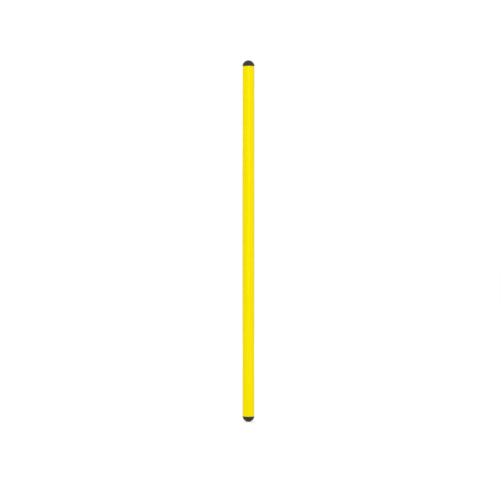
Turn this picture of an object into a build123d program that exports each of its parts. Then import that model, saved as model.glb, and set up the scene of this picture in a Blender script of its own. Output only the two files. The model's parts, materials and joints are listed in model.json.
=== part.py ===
"""A round telescopic pole for a paint roller, closed, with its lock inside it.

The pole stands along +Z, and the origin is under the middle of the bottom dome. A yellow glass-fibre tube
holds a sliding aluminium tube. The inner tube ends in a threaded tip for a roller frame, which a domed
cap covers. Turning the inner tube one turn clockwise, seen from above, draws a cone nut up inside a cage
and presses three shoes outwards against the bore of the outer tube. All sizes are in millimetres.
"""

from build123d import *
import os
from math import cos, pi, radians, sin, sqrt, tan

# ---- Outer tube -------------------------------------------------------------------------------------
POLE_DIAMETER = 32.0
POLE_WALL = 2.5
TUBE_LENGTH = 927.0
TUBE_EDGE = 0.3  # chamfer on the outer rims

# ---- Inner tube -------------------------------------------------------------------------------------
INNER_DIAMETER = 22.0
INNER_WALL = 1.5
INNER_EDGE = 0.25

# ---- Domed ends -------------------------------------------------------------------------------------
DOME_STEP = 0.1  # how far the ends lie inside the tube's outline, so that a clip slides over them
DOME_RISE = 13.3  # height of the curved part
DOME_EDGE = 0.4  # rounding where a dome meets its seat
TOP_LAND = 1.5  # straight side under the top dome
BOTTOM_LAND = 1.3  # straight side above the bottom dome
DOME_CROWN_WALL = 2.6  # thickness of the top dome on the axis
DOME_FLOOR = 12.0  # thickness of the bottom dome on the axis

# ---- Bottom cap and landing pad ---------------------------------------------------------------------
PLUG_LENGTH = 24.0
PLUG_CORE_GAP = 0.6  # between the plug's core and the bore
PLUG_WALL = 3.4
RIB_COUNT = 4
RIB_HEIGHT = 1.6
PAD_THICKNESS = 8.0
PAD_GAP = 0.5  # radial gap round the pad
PAD_VENT_DIAMETER = 6.0
PAD_EDGE = 0.8

# ---- Mouth bush and its ring ------------------------------------------------------------------------
BUSH_LENGTH = 60.0
FLANGE_THICKNESS = 1.2
BUSH_LEAD_IN = 0.6
MOUTH_RING_SECTION = 1.4  # diameter of the ring's section
MOUTH_RING_DEPTH = 4.0  # from the flange's top to the middle of the ring
RING_GROOVE_PLAY = 0.4  # how much wider a groove is than its ring

# ---- Threaded tip: a 3/4-5 painter's thread ---------------------------------------------------------
THREAD_MAJOR_DIAMETER = 19.05
THREAD_PITCH = 5.08
THREAD_DEPTH = 2.3
THREAD_FLANK = 14.5  # degrees
THREAD_CREST = 1.7  # width of the flat on top of the thread
THREAD_RELIEF = 2.0  # plain neck below the thread
THREAD_LENGTH = 20.5
THREAD_ROOTING = 0.2  # how far the ridge starts inside the core
NOSE_HEIGHT = 4.5
NOSE_DIAMETER = 10.0
NOSE_EDGE = 1.2
SHOULDER_THICKNESS = 1.5
TIP_SHANK_LENGTH = 30.0
TIP_CORE_DIAMETER = 9.0  # cored out from below
TIP_CORE_DEPTH = 42.0

# ---- Roll pins --------------------------------------------------------------------------------------
PIN_DIAMETER = 4.0
PIN_WALL = 0.8
PIN_SLOT = 0.8
PIN_INSET = 0.2  # how far each end stops short of the tube's outside
TIP_PIN_DEPTH = 16.0  # from the shoulder's underside to the tip pin

# ---- Lock plug, slide ring and bolt -----------------------------------------------------------------
PLUG_FLANGE_GAP = 1.0  # radial gap between the plug's flange and the bore
PLUG_FLANGE_THICKNESS = 3.0
LOCK_PLUG_LENGTH = 34.0
BOLT_SEAT_HEIGHT = 10.6  # solid plug between its flange and the bolt head
PLUG_FLUTES = 6
PLUG_FLUTE_DIAMETER = 1.6
SLIDE_RING_HEIGHT = 14.0
SLIDE_RING_LIP = 2.5
SLIDE_RING_FLUTES = 3
SLIDE_RING_FLUTE_DIAMETER = 3.0
BOLT_DIAMETER = 8.0
BOLT_PITCH = 1.25
BOLT_TIP_CHAMFER = 0.8
BOLT_STICKOUT = 1.0
HEX_ACROSS_FLATS = 13.0
BOLT_HEAD_HEIGHT = 5.3
LOCK_NUT_HEIGHT = 8.0
LOCK_NUT_COLLAR_HEIGHT = 2.2
LOCK_NUT_COLLAR_DIAMETER = 11.6
NUT_INSERT_DIAMETER = 9.8
NUT_INSERT_HEIGHT = 1.4
WASHER_DIAMETER = 16.0
WASHER_THICKNESS = 1.6
END_PLAY = 0.1  # axial play above and below the cage

# ---- Lock cage, cone nut and shoes ------------------------------------------------------------------
CAGE_GAP = 0.3  # radial gap between the cage and the bore
CAGE_RING_HEIGHT = 5.0
CAGE_WINDOW = 24.0
BAR_COUNT = 3
BAR_WIDTH = 3.8
BAR_INNER_DIAMETER = 14.0  # circle that the bars' inner faces touch
BAR_INSET = 0.2  # how far the bars stop inside the floor of the drag rings' grooves
DRAG_RING_SECTION = 2.0
SCREW_DIAMETER = 2.0
SCREW_LENGTH = 9.0
SCREW_HEAD_DIAMETER = 3.6
SCREW_HEAD_HEIGHT = 1.4
SCREW_END_PLAY = 0.2
SCREW_SLOT = 0.6
CONE_ANGLE = 18.0  # degrees, half angle
CONE_BASE_HEIGHT = 4.0
CONE_HEIGHT = 12.0
CONE_LIFT = 1.6  # nut above the window's floor when unlocked
LOCK_TURNS = 1.0
SHOE_BORE_GAP = 0.02  # left between a shoe and the bore when locked
SHOE_CONE_GAP = 0.03
SHOE_END_PLAY = 0.2
SHOE_BAR_GAP = 0.25
SHOE_SKIRT = 2.55  # wall of a shoe beside the cone nut's base
SHOE_SKIRT_RELIEF = 0.7  # between the shoe and the cone nut's straight base
SHOE_RING_SECTION = 1.4
SHOE_RING_INSET = 5.0  # from each end of a shoe to the middle of its ring

# ---- Clearances -------------------------------------------------------------------------------------
BOND_GAP = 0.05  # adhesive or moulding gap, on the radius
RUNNING_GAP = 0.1  # sliding fit, on the radius
SEAT_GAP = 0.1  # between the top cap and what it seats on
PIN_GAP = 0.02
THREAD_GAP = 0.08  # between the cap's bore and the thread's crest, on the radius
LANDING_GAP = 0.3  # between the bolt's end and the landing pad

# ---- Radii ------------------------------------------------------------------------------------------
POLE_R = POLE_DIAMETER / 2
BORE_R = POLE_R - POLE_WALL
INNER_R = INNER_DIAMETER / 2
INNER_BORE_R = INNER_R - INNER_WALL
DOME_R = POLE_R - DOME_STEP
BUSH_R = BORE_R - BOND_GAP
BUSH_BORE_R = INNER_R + RUNNING_GAP
THREAD_R = THREAD_MAJOR_DIAMETER / 2
THREAD_ROOT_R = THREAD_R - THREAD_DEPTH
CAP_BORE_R = THREAD_R + THREAD_GAP
SHANK_R = INNER_BORE_R - BOND_GAP
BOLT_R = BOLT_DIAMETER / 2
BOLT_HOLE_R = BOLT_R + RUNNING_GAP
CAGE_R = BORE_R - CAGE_GAP
DRAG_RING_INSIDE_R = BORE_R - BOND_GAP - DRAG_RING_SECTION
DRAG_GROOVE_R = DRAG_RING_INSIDE_R - BOND_GAP
BAR_OUTER_R = DRAG_GROOVE_R - BAR_INSET
BAR_INNER_R = BAR_INNER_DIAMETER / 2
SCREW_CIRCLE_R = (BAR_INNER_R + BAR_OUTER_R) / 2
SHOE_FACE_R = BORE_R - SHOE_BORE_GAP
SHOE_GROOVE_R = SHOE_FACE_R - SHOE_RING_SECTION - BOND_GAP
SHOE_SKIRT_R = SHOE_FACE_R - SHOE_SKIRT
CONE_BASE_R = SHOE_SKIRT_R - SHOE_SKIRT_RELIEF - SHOE_CONE_GAP
CONE_TIP_R = CONE_BASE_R - CONE_HEIGHT * tan(radians(CONE_ANGLE))

# ---- Heights, from the bottom up --------------------------------------------------------------------
TUBE_BOTTOM = DOME_RISE + BOTTOM_LAND
TUBE_TOP = TUBE_BOTTOM + TUBE_LENGTH
PAD_BOTTOM = TUBE_BOTTOM + PLUG_LENGTH
PAD_TOP = PAD_BOTTOM + PAD_THICKNESS
BOLT_END = PAD_TOP + LANDING_GAP
LOCK_NUT_BOTTOM = BOLT_END + BOLT_STICKOUT
LOWER_WASHER_BOTTOM = LOCK_NUT_BOTTOM + LOCK_NUT_HEIGHT
CAGE_BOTTOM = LOWER_WASHER_BOTTOM + WASHER_THICKNESS + END_PLAY
WINDOW_BOTTOM = CAGE_BOTTOM + CAGE_RING_HEIGHT
WINDOW_TOP = WINDOW_BOTTOM + CAGE_WINDOW
CAGE_TOP = WINDOW_TOP + CAGE_RING_HEIGHT
UPPER_WASHER_BOTTOM = CAGE_TOP + END_PLAY
PLUG_FLANGE_BOTTOM = UPPER_WASHER_BOTTOM + WASHER_THICKNESS
PLUG_FLANGE_TOP = PLUG_FLANGE_BOTTOM + PLUG_FLANGE_THICKNESS
BOLT_SEAT = PLUG_FLANGE_TOP + BOLT_SEAT_HEIGHT
LOCK_PIN_HEIGHT = BOLT_SEAT + BOLT_HEAD_HEIGHT + RUNNING_GAP + PIN_DIAMETER / 2
INNER_BOTTOM = PLUG_FLANGE_TOP + SLIDE_RING_LIP
SLIDE_RING_TOP = INNER_BOTTOM + SLIDE_RING_HEIGHT
FLANGE_TOP = TUBE_TOP + FLANGE_THICKNESS
BUSH_BOTTOM = TUBE_TOP - BUSH_LENGTH
CAP_SEAT = FLANGE_TOP + SEAT_GAP
POLE_TOP = CAP_SEAT + TOP_LAND + DOME_RISE
TIP_HEIGHT = THREAD_RELIEF + THREAD_LENGTH + NOSE_HEIGHT
TIP_SHOULDER = POLE_TOP - DOME_CROWN_WALL - RUNNING_GAP - TIP_HEIGHT
INNER_TOP = TIP_SHOULDER - SHOULDER_THICKNESS
TIP_PIN_HEIGHT = INNER_TOP - TIP_PIN_DEPTH

# ---- Travel -----------------------------------------------------------------------------------------
EXTENSION = BUSH_BOTTOM - SLIDE_RING_TOP
NUT_TRAVEL = BOLT_PITCH * LOCK_TURNS
SHOE_TRAVEL = NUT_TRAVEL * tan(radians(CONE_ANGLE))


def disc(radius, bottom, top):
    """A plain cylinder about Z between two heights."""
    return Pos(0, 0, bottom) * Cylinder(radius, top - bottom, align=(Align.CENTER, Align.CENTER, Align.MIN))


def ring(inner, outer, bottom, top):
    """A plain ring about Z between two heights."""
    return disc(outer, bottom, top) - disc(inner, bottom, top)


def turned(*edges):
    """A solid turned about Z from the edges of its half section, which lie in the XZ plane."""
    return revolve(make_face(Curve() + list(edges)), Axis.Z)


def turned_outline(points):
    """A solid turned about Z from the straight-sided outline through (radius, height) points."""
    return revolve(make_face(Polyline(*[(r, 0, z) for r, z in points], close=True)), Axis.Z)


def o_ring(inside, section, height):
    """A round-section ring, by the radius of its inside."""
    return Pos(0, 0, height) * Torus(inside + section / 2, section / 2)


def ring_groove(floor, section, height):
    """What a lathe takes away for a round-section ring's square groove, from its floor outwards."""
    half = (section + RING_GROOVE_PLAY) / 2
    return ring(floor, POLE_R, height - half, height + half)


def round_the_axis(shape, count, start=0.0):
    """Copies of a shape, evenly spaced about Z."""
    return [Rot(0, 0, start + 360 * k / count) * shape for k in range(count)]


def hexagon_prism(across_flats, bottom, height):
    """A hexagonal block about Z."""
    face = RegularPolygon(across_flats / 2, 6, major_radius=False)
    return Pos(0, 0, bottom) * extrude(face, height)


def dome_edges(seat, rise_start, crown):
    """The outside of a dome, from its seat to its crown: a rounded edge, a short side and one arc."""
    up = 1 if crown > seat else -1
    rise = abs(crown - rise_start)
    arc_r = (DOME_R**2 + rise**2) / (2 * rise)
    half = sqrt(0.5)
    bulge = (arc_r * half, 0, crown - up * arc_r * (1 - half))
    edge_inside = (DOME_R - DOME_EDGE, 0, seat)
    edge_outside = (DOME_R, 0, seat + up * DOME_EDGE)
    edge_bulge = (DOME_R - DOME_EDGE * (1 - half), 0, seat + up * DOME_EDGE * (1 - half))
    return [
        ThreePointArc(edge_inside, edge_bulge, edge_outside),
        Line(edge_outside, (DOME_R, 0, rise_start)),
        ThreePointArc((DOME_R, 0, rise_start), bulge, (0, 0, crown)),
    ]


def outer_tube():
    """The glass-fibre tube that shows."""
    return turned_outline(
        [
            (BORE_R, TUBE_BOTTOM),
            (POLE_R - TUBE_EDGE, TUBE_BOTTOM),
            (POLE_R, TUBE_BOTTOM + TUBE_EDGE),
            (POLE_R, TUBE_TOP - TUBE_EDGE),
            (POLE_R - TUBE_EDGE, TUBE_TOP),
            (BORE_R, TUBE_TOP),
        ]
    )


def bottom_cap():
    """The domed foot: a hollow ribbed plug pushed into the tube, moulded in one with its dome."""
    rib_r = BORE_R - BOND_GAP
    core_r = BORE_R - PLUG_CORE_GAP
    hollow_r = core_r - PLUG_WALL
    dome = turned(
        *dome_edges(TUBE_BOTTOM, DOME_RISE, 0),
        Line((0, 0, 0), (0, 0, TUBE_BOTTOM)),
        Line((0, 0, TUBE_BOTTOM), (DOME_R - DOME_EDGE, 0, TUBE_BOTTOM)),
    )
    plug = disc(core_r, TUBE_BOTTOM, PAD_BOTTOM)
    spacing = PLUG_LENGTH / (RIB_COUNT + 1)
    for k in range(1, RIB_COUNT + 1):
        foot = TUBE_BOTTOM + k * spacing
        head = foot + RIB_HEIGHT
        plug += turned_outline([(hollow_r, foot), (rib_r, foot), (core_r, head), (hollow_r, head)])
    return dome + plug - disc(hollow_r, DOME_FLOOR, PAD_BOTTOM)


def landing_pad():
    """The foam disc that stops the sliding section, with a hole through which air passes."""
    pad_r = BORE_R - PAD_GAP
    vent_r = PAD_VENT_DIAMETER / 2
    return turned_outline(
        [
            (vent_r, PAD_BOTTOM),
            (pad_r, PAD_BOTTOM),
            (pad_r, PAD_TOP - PAD_EDGE),
            (pad_r - PAD_EDGE, PAD_TOP),
            (vent_r, PAD_TOP),
        ]
    )


def mouth_bush():
    """The flanged bush bonded into the top of the outer tube. It guides the inner tube and stops it."""
    body = turned_outline(
        [
            (BUSH_BORE_R + BUSH_LEAD_IN, BUSH_BOTTOM),
            (BUSH_R - BUSH_LEAD_IN, BUSH_BOTTOM),
            (BUSH_R, BUSH_BOTTOM + BUSH_LEAD_IN),
            (BUSH_R, TUBE_TOP),
            (DOME_R, TUBE_TOP),
            (DOME_R, FLANGE_TOP),
            (BUSH_BORE_R + BUSH_LEAD_IN, FLANGE_TOP),
            (BUSH_BORE_R, FLANGE_TOP - BUSH_LEAD_IN),
            (BUSH_BORE_R, BUSH_BOTTOM + BUSH_LEAD_IN),
        ]
    )
    groove_floor = INNER_R + BOND_GAP + MOUTH_RING_SECTION + BOND_GAP
    half = (MOUTH_RING_SECTION + RING_GROOVE_PLAY) / 2
    height = FLANGE_TOP - MOUTH_RING_DEPTH
    return body - disc(groove_floor, height - half, height + half)


def mouth_ring():
    """The rubber ring in the bush that wipes the inner tube and stops it rattling."""
    return o_ring(INNER_R + BOND_GAP, MOUTH_RING_SECTION, FLANGE_TOP - MOUTH_RING_DEPTH)


def cross_hole(height):
    """The hole through a tube or shank for a roll pin."""
    return Pos(0, 0, height) * Rot(0, 90, 0) * Cylinder(PIN_DIAMETER / 2 + PIN_GAP, 2 * POLE_DIAMETER)


def roll_pin(height):
    """A slotted spring pin across the inner tube, its ends just below the tube's outside."""
    length = INNER_DIAMETER - 2 * PIN_INSET
    pin = Cylinder(PIN_DIAMETER / 2, length) - Cylinder(PIN_DIAMETER / 2 - PIN_WALL, length)
    pin -= Pos(0, PIN_DIAMETER / 2, 0) * Box(PIN_SLOT, PIN_DIAMETER, length)
    inside = disc(INNER_R - PIN_GAP, height - PIN_DIAMETER, height + PIN_DIAMETER)
    return Pos(0, 0, height) * Rot(0, 90, 0) * pin & inside


def inner_tube():
    """The sliding aluminium tube, drilled across at each end."""
    tube = turned_outline(
        [
            (INNER_BORE_R, INNER_BOTTOM),
            (INNER_R - INNER_EDGE, INNER_BOTTOM),
            (INNER_R, INNER_BOTTOM + INNER_EDGE),
            (INNER_R, INNER_TOP - INNER_EDGE),
            (INNER_R - INNER_EDGE, INNER_TOP),
            (INNER_BORE_R, INNER_TOP),
        ]
    )
    return tube - cross_hole(TIP_PIN_HEIGHT) - cross_hole(LOCK_PIN_HEIGHT)


def helical_ridge(length):
    """The tip's screw ridge, a trapezoid carried up four helices from height 0."""
    foot_r = THREAD_ROOT_R - THREAD_ROOTING
    half_crest = THREAD_CREST / 2
    half_foot = half_crest + (THREAD_R - foot_r) * tan(radians(THREAD_FLANK))
    corners = [(THREAD_R, half_crest), (THREAD_R, -half_crest), (foot_r, -half_foot), (foot_r, half_foot)]
    helices = [Pos(0, 0, z) * Edge.make_helix(THREAD_PITCH, length, r) for r, z in corners]
    pairs = list(zip(helices, helices[1:] + helices[:1]))
    sides = [Face.make_surface_from_curves(a, b) for a, b in pairs]
    ends = [Face(Wire([Line(a @ t, b @ t).edge() for a, b in pairs])) for t in (0, 1)]
    return Solid(Shell(sides + ends))


def threaded_tip():
    """The die-cast tip: a cored shank in the inner tube, a shoulder, and a screw with a tapered nose."""
    thread_bottom = TIP_SHOULDER + THREAD_RELIEF
    thread_top = thread_bottom + THREAD_LENGTH
    nose_top = thread_top + NOSE_HEIGHT
    nose_r = NOSE_DIAMETER / 2
    shank_bottom = INNER_TOP - TIP_SHANK_LENGTH
    shank = turned_outline(
        [
            (0, shank_bottom),
            (SHANK_R - INNER_EDGE, shank_bottom),
            (SHANK_R, shank_bottom + INNER_EDGE),
            (SHANK_R, INNER_TOP),
            (INNER_R - INNER_EDGE, INNER_TOP),
            (INNER_R, INNER_TOP + INNER_EDGE),
            (INNER_R, TIP_SHOULDER),
            (0, TIP_SHOULDER),
        ]
    )
    envelope = turned_outline(
        [
            (0, TIP_SHOULDER),
            (THREAD_ROOT_R, TIP_SHOULDER),
            (THREAD_ROOT_R, thread_bottom - THREAD_DEPTH / 2),
            (THREAD_R, thread_bottom + THREAD_DEPTH / 2),
            (THREAD_R, thread_top),
            (nose_r, nose_top - NOSE_EDGE),
            (nose_r - NOSE_EDGE, nose_top),
            (0, nose_top),
        ]
    )
    screw = disc(THREAD_ROOT_R, TIP_SHOULDER, nose_top)
    screw += Pos(0, 0, thread_bottom) * helical_ridge(THREAD_LENGTH)
    core = disc(TIP_CORE_DIAMETER / 2, shank_bottom, shank_bottom + TIP_CORE_DEPTH)
    return shank + (screw & envelope) - core - cross_hole(TIP_PIN_HEIGHT)


def tip_cap():
    """The push-on top cap: a dome as wide as the pole on a neck that covers the thread."""
    neck_bottom = TIP_SHOULDER + SEAT_GAP
    thread_top = TIP_SHOULDER + THREAD_RELIEF + THREAD_LENGTH + THREAD_GAP
    roof = POLE_TOP - DOME_CROWN_WALL
    roof_r = NOSE_DIAMETER / 2 + THREAD_GAP
    return turned(
        Line((CAP_BORE_R, 0, neck_bottom), (INNER_R, 0, neck_bottom)),
        Line((INNER_R, 0, neck_bottom), (INNER_R, 0, CAP_SEAT)),
        Line((INNER_R, 0, CAP_SEAT), (DOME_R - DOME_EDGE, 0, CAP_SEAT)),
        *dome_edges(CAP_SEAT, CAP_SEAT + TOP_LAND, POLE_TOP),
        Line((0, 0, POLE_TOP), (0, 0, roof)),
        Line((0, 0, roof), (roof_r, 0, roof)),
        Line((roof_r, 0, roof), (CAP_BORE_R, 0, thread_top)),
        Line((CAP_BORE_R, 0, thread_top), (CAP_BORE_R, 0, neck_bottom)),
    )


def lock_plug():
    """The moulded plug pinned into the foot of the inner tube. It holds the bolt by its head."""
    top = PLUG_FLANGE_BOTTOM + LOCK_PLUG_LENGTH
    body = disc(BORE_R - PLUG_FLANGE_GAP, PLUG_FLANGE_BOTTOM, PLUG_FLANGE_TOP)
    body += disc(SHANK_R, PLUG_FLANGE_TOP, top)
    body -= hexagon_prism(HEX_ACROSS_FLATS + 2 * BOND_GAP, BOLT_SEAT, top - BOLT_SEAT)
    body -= disc(BOLT_R + BOND_GAP, PLUG_FLANGE_BOTTOM, BOLT_SEAT)
    flute = Pos(SHANK_R, 0, 0) * disc(PLUG_FLUTE_DIAMETER / 2, INNER_BOTTOM, top)
    body -= round_the_axis(flute, PLUG_FLUTES, start=180 / PLUG_FLUTES)
    return body - cross_hole(LOCK_PIN_HEIGHT)


def slide_ring():
    """The guide ring on the foot of the inner tube, held by a lip between the tube and the plug's flange."""
    outer = BORE_R - RUNNING_GAP
    body = ring(INNER_R + BOND_GAP, outer, INNER_BOTTOM, SLIDE_RING_TOP)
    body += ring(SHANK_R + BOND_GAP, outer, PLUG_FLANGE_TOP, INNER_BOTTOM)
    flute = Pos(outer, 0, 0) * disc(SLIDE_RING_FLUTE_DIAMETER / 2, PLUG_FLANGE_TOP, SLIDE_RING_TOP)
    return body - round_the_axis(flute, SLIDE_RING_FLUTES)


def lock_bolt():
    """The hexagon-head bolt that hangs from the plug. Its screw is drawn as a plain rod."""
    head = hexagon_prism(HEX_ACROSS_FLATS, BOLT_SEAT, BOLT_HEAD_HEIGHT)
    corner_r = HEX_ACROSS_FLATS / sqrt(3)
    crown = turned_outline(
        [
            (0, BOLT_SEAT),
            (corner_r, BOLT_SEAT),
            (corner_r, BOLT_SEAT + BOLT_HEAD_HEIGHT - (corner_r - HEX_ACROSS_FLATS / 2)),
            (HEX_ACROSS_FLATS / 2, BOLT_SEAT + BOLT_HEAD_HEIGHT),
            (0, BOLT_SEAT + BOLT_HEAD_HEIGHT),
        ]
    )
    rod = turned_outline(
        [
            (0, BOLT_END),
            (BOLT_R - BOLT_TIP_CHAMFER, BOLT_END),
            (BOLT_R, BOLT_END + BOLT_TIP_CHAMFER),
            (BOLT_R, BOLT_SEAT),
            (0, BOLT_SEAT),
        ]
    )
    return (head & crown) + rod


def lock_nut():
    """The self-locking nut at the bolt's lower end, its collar downwards, hollow for a nylon insert."""
    hexagon_bottom = LOCK_NUT_BOTTOM + LOCK_NUT_COLLAR_HEIGHT
    body = hexagon_prism(HEX_ACROSS_FLATS, hexagon_bottom, LOWER_WASHER_BOTTOM - hexagon_bottom)
    body += disc(LOCK_NUT_COLLAR_DIAMETER / 2, LOCK_NUT_BOTTOM, hexagon_bottom)
    body -= disc(BOLT_R + BOND_GAP, LOCK_NUT_BOTTOM, LOWER_WASHER_BOTTOM)
    insert_bottom = hexagon_bottom - NUT_INSERT_HEIGHT
    return body - disc(NUT_INSERT_DIAMETER / 2 + BOND_GAP, insert_bottom, hexagon_bottom)


def nut_insert():
    """The nylon ring inside the lock nut that grips the bolt."""
    top = LOCK_NUT_BOTTOM + LOCK_NUT_COLLAR_HEIGHT
    return ring(BOLT_R + BOND_GAP / 2, NUT_INSERT_DIAMETER / 2, top - NUT_INSERT_HEIGHT, top)


def washer(bottom):
    """A plain washer on the bolt."""
    return ring(BOLT_HOLE_R, WASHER_DIAMETER / 2, bottom, bottom + WASHER_THICKNESS)


def bar_block(width, inner, outer, bottom, top):
    """A block that reaches outwards along +X, as a cage bar does."""
    return Pos((inner + outer) / 2, 0, (bottom + top) / 2) * Box(outer - inner, width, top - bottom)


def screw_hole(extra):
    """The hole for one cage screw, with its head's recess, wider than the screw by extra on the radius."""
    hole = disc(SCREW_DIAMETER / 2 + extra, CAGE_BOTTOM, CAGE_BOTTOM + SCREW_LENGTH + SCREW_END_PLAY)
    hole += disc(SCREW_HEAD_DIAMETER / 2 + extra, CAGE_BOTTOM, CAGE_BOTTOM + SCREW_HEAD_HEIGHT)
    return Pos(SCREW_CIRCLE_R, 0, 0) * hole


def lock_cage():
    """The cage's upper ring, with three bars hanging from it between the shoes."""
    body = ring(BOLT_HOLE_R, CAGE_R, WINDOW_TOP, CAGE_TOP)
    body -= ring_groove(DRAG_GROOVE_R, DRAG_RING_SECTION, (WINDOW_TOP + CAGE_TOP) / 2)
    bar = bar_block(BAR_WIDTH, BAR_INNER_R, BAR_OUTER_R, WINDOW_BOTTOM, WINDOW_TOP)
    body += round_the_axis(bar, BAR_COUNT)
    return body - round_the_axis(screw_hole(PIN_GAP), BAR_COUNT)


def cage_end_plate():
    """The cage's lower ring, screwed to the ends of the bars."""
    body = ring(BOLT_HOLE_R, CAGE_R, CAGE_BOTTOM, WINDOW_BOTTOM)
    body -= ring_groove(DRAG_GROOVE_R, DRAG_RING_SECTION, (CAGE_BOTTOM + WINDOW_BOTTOM) / 2)
    return body - round_the_axis(screw_hole(PIN_GAP), BAR_COUNT)


def cage_screws():
    """The three small screws that hold the end plate."""
    head = disc(SCREW_HEAD_DIAMETER / 2, CAGE_BOTTOM, CAGE_BOTTOM + SCREW_HEAD_HEIGHT)
    head -= Pos(0, 0, CAGE_BOTTOM) * Box(SCREW_HEAD_DIAMETER, SCREW_SLOT, SCREW_SLOT)
    screw = head + disc(SCREW_DIAMETER / 2, CAGE_BOTTOM + SCREW_HEAD_HEIGHT, CAGE_BOTTOM + SCREW_LENGTH)
    return Compound(round_the_axis(Pos(SCREW_CIRCLE_R, 0, 0) * screw, BAR_COUNT))


def cone_profile(bottom, gap=0.0):
    """Points of the cone nut's outline from its base up, grown by gap on the radius."""
    shoulder = bottom + CONE_BASE_HEIGHT
    top = shoulder + CONE_HEIGHT
    return [(CONE_BASE_R + gap, bottom), (CONE_BASE_R + gap, shoulder), (CONE_TIP_R + gap, top)]


def cone_nut():
    """The cone that climbs the bolt. Slots on the cage's bars keep it from turning."""
    bottom = WINDOW_BOTTOM + CONE_LIFT
    top = bottom + CONE_BASE_HEIGHT + CONE_HEIGHT
    body = turned_outline([(0, bottom), *cone_profile(bottom), (0, top)])
    slot = bar_block(
        BAR_WIDTH + 2 * RUNNING_GAP, BAR_INNER_R - 2 * RUNNING_GAP, POLE_R, bottom, top
    )
    return body - round_the_axis(slot, BAR_COUNT) - disc(BOLT_R + BOND_GAP, bottom, top)


def shoe_side_cut(side):
    """What lies beyond one side of a shoe that faces +X: a gap, the next bar and all past it."""
    clear = BAR_WIDTH / 2 + SHOE_BAR_GAP + SHOE_TRAVEL * sin(pi / BAR_COUNT)
    middle = side * (POLE_DIAMETER - clear)
    return Rot(0, 0, side * 180 / BAR_COUNT) * Pos(0, middle, WINDOW_TOP) * Box(
        4 * POLE_DIAMETER, 2 * POLE_DIAMETER, 4 * CAGE_WINDOW
    )


def lock_shoe(angle):
    """One wedge-backed shoe, between two bars, at rest. Its face fits the bore when it has moved out."""
    bottom = WINDOW_BOTTOM + SHOE_END_PLAY
    top = WINDOW_TOP - SHOE_END_PLAY
    locked_nut = WINDOW_BOTTOM + CONE_LIFT + NUT_TRAVEL
    shoulder, tip = cone_profile(locked_nut, SHOE_CONE_GAP)[1:]
    body = turned_outline(
        [
            (SHOE_SKIRT_R, bottom),
            (SHOE_FACE_R, bottom),
            (SHOE_FACE_R, top),
            (tip[0], top),
            tip,
            shoulder,
            (SHOE_SKIRT_R, shoulder[1]),
        ]
    )
    for height in (bottom + SHOE_RING_INSET, top - SHOE_RING_INSET):
        body -= ring_groove(SHOE_GROOVE_R, SHOE_RING_SECTION, height)
    body -= [shoe_side_cut(1), shoe_side_cut(-1)]
    return Rot(0, 0, angle) * Pos(-SHOE_TRAVEL, 0, 0) * body


def shoe_ring(height):
    """The rubber ring that draws the three shoes back in, lying in their grooves at rest."""
    edge = SHOE_TRAVEL * cos(pi / BAR_COUNT)
    return o_ring(SHOE_GROOVE_R - edge + BOND_GAP, SHOE_RING_SECTION, height)


def nodes():
    """Every piece, by name."""
    shoe_angles = [180 / BAR_COUNT + 360 * k / BAR_COUNT for k in range(BAR_COUNT)]
    pieces = {
        "outer_tube": outer_tube(),
        "bottom_cap": bottom_cap(),
        "landing_pad": landing_pad(),
        "mouth_bush": mouth_bush(),
        "mouth_ring": mouth_ring(),
        "inner_tube": inner_tube(),
        "threaded_tip": threaded_tip(),
        "tip_pin": roll_pin(TIP_PIN_HEIGHT),
        "tip_cap": tip_cap(),
        "lock_plug": lock_plug(),
        "lock_plug_pin": roll_pin(LOCK_PIN_HEIGHT),
        "slide_ring": slide_ring(),
        "lock_bolt": lock_bolt(),
        "lock_nut": lock_nut(),
        "nut_insert": nut_insert(),
        "upper_washer": washer(UPPER_WASHER_BOTTOM),
        "lower_washer": washer(LOWER_WASHER_BOTTOM),
        "lock_cage": lock_cage(),
        "cage_end_plate": cage_end_plate(),
        "cage_screws": cage_screws(),
        "upper_drag_ring": o_ring(DRAG_RING_INSIDE_R, DRAG_RING_SECTION, (WINDOW_TOP + CAGE_TOP) / 2),
        "lower_drag_ring": o_ring(DRAG_RING_INSIDE_R, DRAG_RING_SECTION, (CAGE_BOTTOM + WINDOW_BOTTOM) / 2),
        "cone_nut": cone_nut(),
        "upper_shoe_ring": shoe_ring(WINDOW_TOP - SHOE_END_PLAY - SHOE_RING_INSET),
        "lower_shoe_ring": shoe_ring(WINDOW_BOTTOM + SHOE_END_PLAY + SHOE_RING_INSET),
    }
    for number, angle in enumerate(shoe_angles, start=1):
        pieces[f"lock_shoe_{number}"] = lock_shoe(angle)
    return pieces


def report():
    """Prints the sizes that a record of this part needs."""
    print(f"overall height {POLE_TOP:.3f}, outer tube {TUBE_BOTTOM:.3f} to {TUBE_TOP:.3f}")
    print(f"tip shoulder {TIP_SHOULDER:.3f}, tip top {TIP_SHOULDER + TIP_HEIGHT:.3f}")
    print(f"extension {EXTENSION:.3f}, nut travel {NUT_TRAVEL:.4f}, shoe travel {SHOE_TRAVEL:.5f}")
    print(f"bolt length {BOLT_SEAT - BOLT_END:.3f}, inner tube {INNER_TOP - INNER_BOTTOM:.3f}")


os.makedirs("parts", exist_ok=True)
for name, piece in nodes().items():
    export_step(piece, f"parts/{name}.step")
report()
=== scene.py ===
"""Looks for a telescopic paint-roller pole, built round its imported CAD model.

The pole stands upright and closed. A yellow glass-fibre tube shows between two charcoal domes. The upper dome
is a push-on cap over the threaded tip, and slides up with the aluminium tube inside. The tubes, the two domed
caps, the foam pad and the rings round the brake shoes are turned here as fine meshes. The other pieces keep
their CAD shape and get a finish.
"""

import json
import logging
import math
from abc import ABC, abstractmethod
from dataclasses import dataclass
from enum import Enum
from typing import Any

import bmesh
import bpy
from mathutils import Matrix, Vector


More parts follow.
